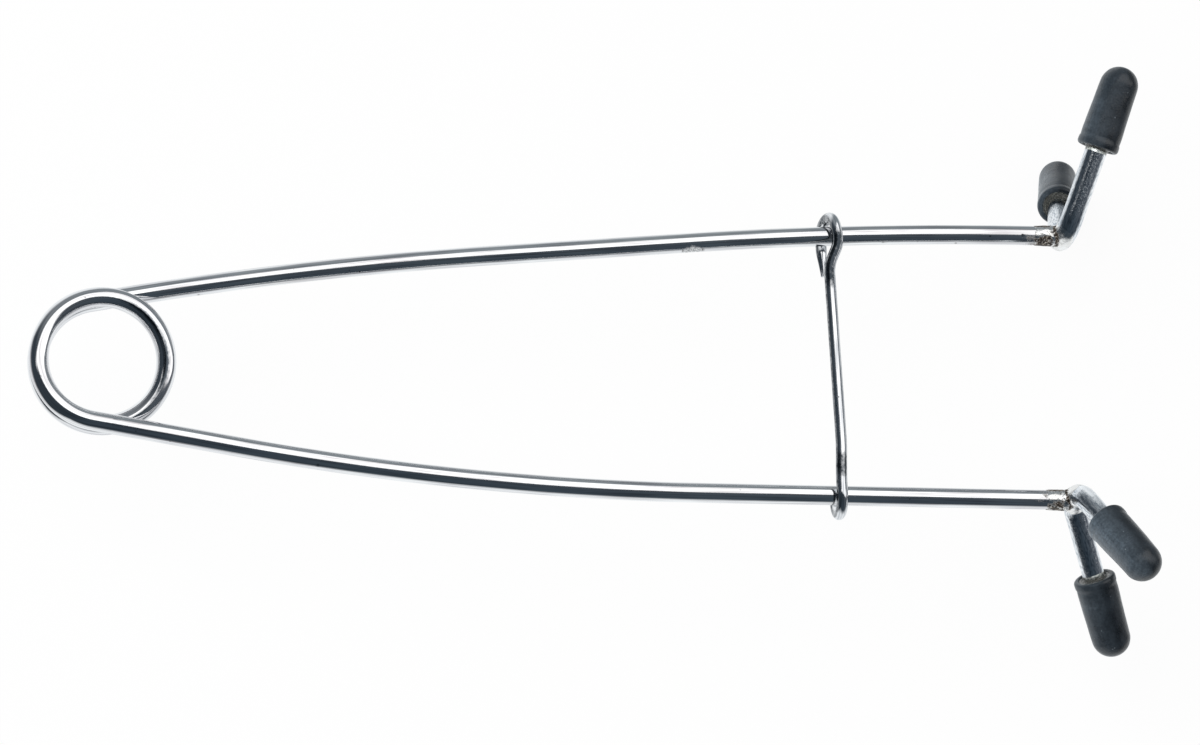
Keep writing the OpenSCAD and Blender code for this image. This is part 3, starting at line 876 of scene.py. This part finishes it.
def link_line():
    """The link's middle line from the lower tail to the upper one, and places along it."""
    def reach_x(line, x):
        i = np.argsort(line[:, 0])
        return np.interp(x, line[i, 0], line[i, 1])

    upper_hook_r = HOOK_REACH["upper"] / math.cos(math.radians(HOOK_TURN))
    kink = math.radians(KINK_ANGLE)
    kink_shift = 2 * KINK_R * (1 - math.cos(kink)) + KINK_MIDDLE * math.sin(kink)
    kink_rise = 2 * KINK_R * math.sin(kink) + KINK_MIDDLE * math.cos(kink)
    upper_x = LINK_X + kink_shift - upper_hook_r * math.sin(math.radians(HOOK_TURN))
    low_y = reach_x(LOWER_LINE, LINK_X)
    rise = reach_x(UPPER_LINE, upper_x) - low_y
    step = HOOK_REACH["lower"] - HOOK_REACH["upper"]
    apart = math.hypot(rise, 2 * ARM_Z)
    span = math.sqrt(apart ** 2 - step ** 2)
    lean = math.degrees(math.atan2(2 * ARM_Z, rise) + math.asin(step / apart))
    start = (shift(LINK_X, low_y, ARM_Z) @ turn("X", -lean) @ shift(0, 0, HOOK_REACH["lower"])
             @ turn("Z", 90) @ turn("Y", 90))

    def walk(m, steps):
        """Points along a wire that starts up Z: runs, bends toward X, and rolls about Z."""
        points = [m[:3, 3].copy()]
        for kind, size, angle in steps:
            if kind == "roll":
                m = m @ turn("Z", angle)
                continue
            length = size if kind == "run" else size * math.radians(angle)
            parts = max(2, round(length / LINK_STEP))
            for _ in range(parts):
                if kind == "run":
                    m = m @ shift(0, 0, size / parts)
                else:
                    m = m @ shift(size, 0, 0) @ turn("Y", angle / parts) @ shift(-size, 0, 0)
                points.append(m[:3, 3].copy())
        return points

    flip = np.diag([1, 1, -1, 1.0])
    hook = walk(np.eye(4), [("bend", HOOK_REACH["lower"], 180), ("run", LOWER_TAIL, 0)])
    lower = [put(start @ flip, p) for p in hook]
    shank = span - kink_rise - KINK_END
    upper = walk(start, [
        ("run", shank, 0), ("roll", 0, -90), ("bend", KINK_R, KINK_ANGLE), ("run", KINK_MIDDLE, 0),
        ("roll", 0, 180), ("bend", KINK_R, KINK_ANGLE), ("roll", 0, -90), ("run", KINK_END, 0),
        ("roll", 0, HOOK_TURN), ("bend", upper_hook_r, 180), ("run", UPPER_TAIL, 0),
    ])
    line = np.array(lower[::-1] + upper[1:])
    low_end = LOWER_TAIL + math.pi * HOOK_REACH["lower"]
    kink_start = low_end + shank
    kink_end = kink_start + 2 * KINK_R * kink + KINK_MIDDLE + KINK_END
    return line, (low_end, kink_start, kink_end, kink_end + math.pi * upper_hook_r / 2)


def smooth(x):
    """From 0 to 1 with soft ends."""
    x = np.clip(x, 0, 1)
    return x * x * (3 - 2 * x)


def link_piece(sides=40):
    line, (low_end, kink_start, kink_end, hook_top) = link_line()
    s = distances(line)
    # The shank was straightened by hand and still bows a little
    line[:, 0] += LINK_BOW * smooth((s - low_end - 1) / 9) * smooth((kink_end + 1.5 - s) / 5)
    along = unit(np.gradient(line, s, axis=0))
    out = np.zeros_like(line)
    out[0] = unit(np.cross(along[0], (1.0, 0, 0)))
    for i in range(1, len(line)):
        out[i] = unit(out[i - 1] - (out[i - 1] @ along[i]) * along[i])
    up = np.cross(along, out)
    a = side_angles(sides)
    left = s[-1] - s
    taper = np.interp(left, (0, POINT_L), (POINT_R, LINK_R))
    bevel = np.interp(s, (0, 0.2), (LINK_R - 0.2, LINK_R))
    radius = np.minimum(taper, bevel)[:, None] + 0 * a[None]
    # The pointed tail was cut and filed by hand, so it is left with flats
    flats = np.abs(((a[None] * 5 / (2 * np.pi) + 0.12 * s[:, None]) % 1) - 0.5) * 2
    filed = np.clip(1 - left / (POINT_L + 1.5), 0, 1)[:, None]
    radius = radius * (1 - FILED * filed * flats)
    own = own_rings(s, radius)
    stray, wave = WAVES["link"]
    radius = radius + stray * field(own, wave, 6)
    points, faces = closed_tube(sweep(line, out, up, radius))
    # Painted shade: the flanks facing +X and -X, and a band along the middle of the kink, are darkened by
    # which way they face
    across = np.cos(a)[None] * out[:, :1] + np.sin(a)[None] * up[:, :1]
    flanks = LINK_DARKENING["flanks"] * smooth((np.abs(across) - 0.70) / 0.15)
    kinked = smooth((s - kink_start + 4.5) / 4.0) * smooth((kink_end + 1.6 - s) / 3.0)
    middle = LINK_DARKENING["kink"] * smooth((0.78 - np.abs(across + 0.12)) / 0.3)
    topped = LINK_DARKENING["hook"] * np.exp(-((s - hook_top) / 1.1) ** 4)
    patch = LINK_DARKENING["patch"] * np.exp(-((s - low_end - 4.6) / 2.5) ** 6)
    dull_and_painted_shade = np.maximum(np.maximum(flanks, kinked[:, None] * middle), np.maximum(topped, patch)[:, None])
    dull_and_painted_shade = dull_and_painted_shade * (1 + 0.15 * field(own, 1.5, 12))
    marks = {"dull_and_painted_shade": np.append(dull_and_painted_shade, [0, 0])}
    piece = make_piece("link_wire", points, faces, "link", LINK_STEEL,
                       own_closed(own), marks)
    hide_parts("retaining_link")


link_piece()


# ---------------------------------------------------------------- studio

# The floor's half width and its gap below the lowest point, in metres
FLOOR_HALF = 3
FLOOR_GAP = 0.0002
# How much of the floor's white is its own, so that the rest keeps the shadow
FLOOR_GLOW = 0.93
# The tent's level as a light. Seen directly it is 1, which is white
TENT_LEVEL = 0.62
# The softbox lamp: width, depth, power in watts, and where it hangs and points, in metres
LAMP_SIZE = (1.2, 1.0)
LAMP_POWER = 11.0
LAMP_PLACE = (-0.55, 0.25, 1.15)
LAMP_AIM = (0.09, 0, 0)


def stage_mesh(name, points, faces, material):
    mesh = bpy.data.meshes.new(name)
    mesh.from_pydata(points, [], faces)
    mesh.materials.append(material)
    card = bpy.data.objects.new(name, mesh)
    bpy.context.scene.collection.objects.link(card)
    return card


def seen_directly(tree):
    """1 where the camera, gloss or glass sees a surface, and 0 where it only lights others."""
    path = add(tree, "LightPath").outputs
    seen = add(tree, "Math", {0: path["Is Camera Ray"], 1: path["Is Glossy Ray"]}, operation="MAXIMUM")
    return add(tree, "Math", {0: seen, 1: path["Is Transmission Ray"]}, operation="MAXIMUM")


def pale_floor():
    """Matt white paper. Seen by the camera, metal or glass it is white, and it keeps a shadow."""
    material, tree = new_material("matt_white_paper")
    paper = add(tree, "BsdfDiffuse", {"Color": linear("#f2f2f2")})
    glow = add(tree, "Emission", {"Color": (1, 1, 1, 1), "Strength": 1.0})
    share = add(tree, "Math", {0: seen_directly(tree), 1: FLOOR_GLOW}, operation="MULTIPLY")
    both = add(tree, "MixShader", {0: share, 1: paper, 2: glow})
    add(tree, "OutputMaterial", {"Surface": both})
    return material


# The studio as polished wire sees it. Azimuth runs from +X over +Y, and zenith angles from straight up.
WALL_TONES = {0: "#61666e", 40: "#868d92", 95: "#8b9297", 120: "#7d8287", 145: "#3e464e",
              225: "#2c343b", 275: "#3b454e", 330: "#4d545b", 360: "#61666e"}
# Where the walls give way to the pale surround below, and how softly
WALL_FEET = {0: 107, 25: 95, 50: 128, 66: 132, 78: 119, 90: 101, 115: 92, 140: 98, 150: 108, 180: 108,
             200: 112, 215: 118, 225: 106, 236: 86, 262: 93, 280: 98, 300: 102, 315: 103, 328: 97, 345: 89,
             360: 107}
FOOT_SOFT = 13
SURROUND = "#f7fafc"
# Corners of the overhead softbox: degrees from the zenith toward +X and +Y
SOFTBOX = [(-38, 13), (-25, 20), (-11, 22), (-8, 30), (0, 44), (9, 47), (15, 57), (30, 60), (40, 55),
           (46, 36), (60, 20), (74, 12), (76, -3), (60, -12), (46, -11), (36, -9), (26, -4), (14, -1),
           (3, 1), (-6, 8), (-14, 12), (-30, 13)]
SOFTBOX_SOFT = 2.5
SOFTBOX_GLOW = 1.4


def depth_in_polygon(x, y, corners):
    """Distance inside a polygon, negative outside."""
    inside, nearest_edge = False, 1e9
    for (ax, ay), (bx, by) in zip(corners, corners[1:] + corners[:1]):
        if (ay > y) != (by > y) and x < ax + (y - ay) * (bx - ax) / (by - ay):
            inside = not inside
        t = ((x - ax) * (bx - ax) + (y - ay) * (by - ay)) / ((bx - ax) ** 2 + (by - ay) ** 2)
        t = min(1, max(0, t))
        nearest_edge = min(nearest_edge, math.hypot(x - ax - t * (bx - ax), y - ay - t * (by - ay)))
    return nearest_edge if inside else -nearest_edge


def soft_step(depth, softness):
    return min(1, max(0, depth / (2 * softness) + 0.5))


def studio_tone(azimuth, zenith):
    """Linear colour of the studio in one direction."""
    tones = np.array([linear(c)[:3] for c in WALL_TONES.values()])
    wall = np.array([np.interp(azimuth, list(WALL_TONES), tones[:, i]) for i in range(3)])
    foot = np.interp(azimuth, list(WALL_FEET), list(WALL_FEET.values()))
    surround = np.array(linear(SURROUND)[:3])
    tone = wall + (surround - wall) * soft_step(zenith - foot, FOOT_SOFT)
    x = zenith * math.cos(math.radians(azimuth))
    y = zenith * math.sin(math.radians(azimuth))
    lit = soft_step(depth_in_polygon(x, y, SOFTBOX), SOFTBOX_SOFT)
    return tone + (SOFTBOX_GLOW - tone) * lit


def studio_dome(radius=8.0, azimuth_step=3.75, zenith_step=2.5):
    """A far dome, closed below the table, so that gloss sees one studio from every place."""
    azimuths = np.arange(0, 360, azimuth_step)
    points, tones = [], []
    for zenith in np.arange(0, 180.1, zenith_step):
        out, high = math.sin(math.radians(zenith)), math.cos(math.radians(zenith))
        for azimuth in azimuths:
            c, s = math.cos(math.radians(azimuth)), math.sin(math.radians(azimuth))
            points.append((radius * out * c, radius * out * s, radius * high))
            tones.append(studio_tone(azimuth, zenith))
    faces = ring_faces(len(points) // len(azimuths), len(azimuths))
    material, tree = new_material("studio_cloth")
    tone = add(tree, "Attribute", attribute_name="tone").outputs["Color"]
    glow = add(tree, "Emission", {"Color": tone, "Strength": 1.0})
    add(tree, "OutputMaterial", {"Surface": glow})
    dome = stage_mesh("studio_dome", points, faces, material)
    layer = dome.data.attributes.new("tone", "FLOAT_COLOR", "POINT")
    colours = np.column_stack([tones, np.ones(len(tones))]).astype(np.float32)
    layer.data.foreach_set("color", colours.ravel())
    dome.visible_camera = False
    dome.visible_diffuse = False
    dome.visible_shadow = False
    dome.visible_transmission = False
    dome.visible_volume_scatter = False


LOWEST = min(cad_low[2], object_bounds()[0][2]) - FLOOR_GAP
corners = [(x * FLOOR_HALF, y * FLOOR_HALF, LOWEST) for x, y in ((-1, -1), (1, -1), (1, 1), (-1, 1))]
floor = stage_mesh("floor", corners, [(0, 1, 2, 3)], pale_floor())
# Gloss sees the dome's pale surround in the table's place
floor.visible_glossy = False
studio_dome()

world = bpy.data.worlds.new("white_tent")
bpy.context.scene.world = world
world.use_nodes = True
air = world.node_tree
air.nodes.clear()
level = add(air, "MapRange", {"Value": seen_directly(air), "To Min": TENT_LEVEL, "To Max": 1.0})
sky = add(air, "Background", {"Color": (1, 1, 1, 1), "Strength": level})
add(air, "OutputWorld", {"Surface": sky})

lamp = bpy.data.lights.new("softbox", "AREA")
lamp.shape = "RECTANGLE"
lamp.size, lamp.size_y = LAMP_SIZE
lamp.energy = LAMP_POWER
softbox = bpy.data.objects.new("softbox", lamp)
bpy.context.scene.collection.objects.link(softbox)
softbox.location = LAMP_PLACE
softbox.visible_glossy = False
aim = Vector(LAMP_AIM) - softbox.location
softbox.rotation_euler = aim.to_track_quat("-Z", "Y").to_euler()


# ---------------------------------------------------------------- camera

# Where the camera points and its distance from there, in metres, and its angles in degrees
CAMERA_TARGET = (0.08801, -0.00267, 0)
CAMERA_REACH = 0.950
CAMERA_ELEVATION = 80
CAMERA_SWING = -9
CAMERA_ROLL = -0.43
# The lens as a focal length in the frame's own pixels
SENSOR_WIDTH = 36.0
FOCAL_PIXELS = 5358
FRAME_PIXELS = 1200


def aim_camera():
    """A long lens, almost straight above the arms."""
    elevation, swing, roll = map(math.radians, (CAMERA_ELEVATION, CAMERA_SWING, CAMERA_ROLL))
    back = Vector((math.sin(swing), -math.cos(elevation) * math.cos(swing),
                   math.sin(elevation) * math.cos(swing)))
    right = Vector((0, math.sin(elevation), math.cos(elevation))).cross(back).normalized()
    up = back.cross(right)
    rolled = right * math.cos(roll) + up * math.sin(roll)
    up = up * math.cos(roll) - right * math.sin(roll)
    data = bpy.data.cameras.new("camera")
    data.sensor_width = SENSOR_WIDTH
    data.lens = SENSOR_WIDTH * FOCAL_PIXELS / FRAME_PIXELS
    data.clip_start = 0.01
    data.clip_end = 20
    camera = bpy.data.objects.new("camera", data)
    bpy.context.scene.collection.objects.link(camera)
    pose = Matrix((rolled, up, back)).transposed().to_4x4()
    pose.translation = Vector(CAMERA_TARGET) + back * CAMERA_REACH
    camera.matrix_world = pose
    bpy.context.scene.camera = camera


aim_camera()
bpy.context.scene.view_settings.view_transform = "Standard"
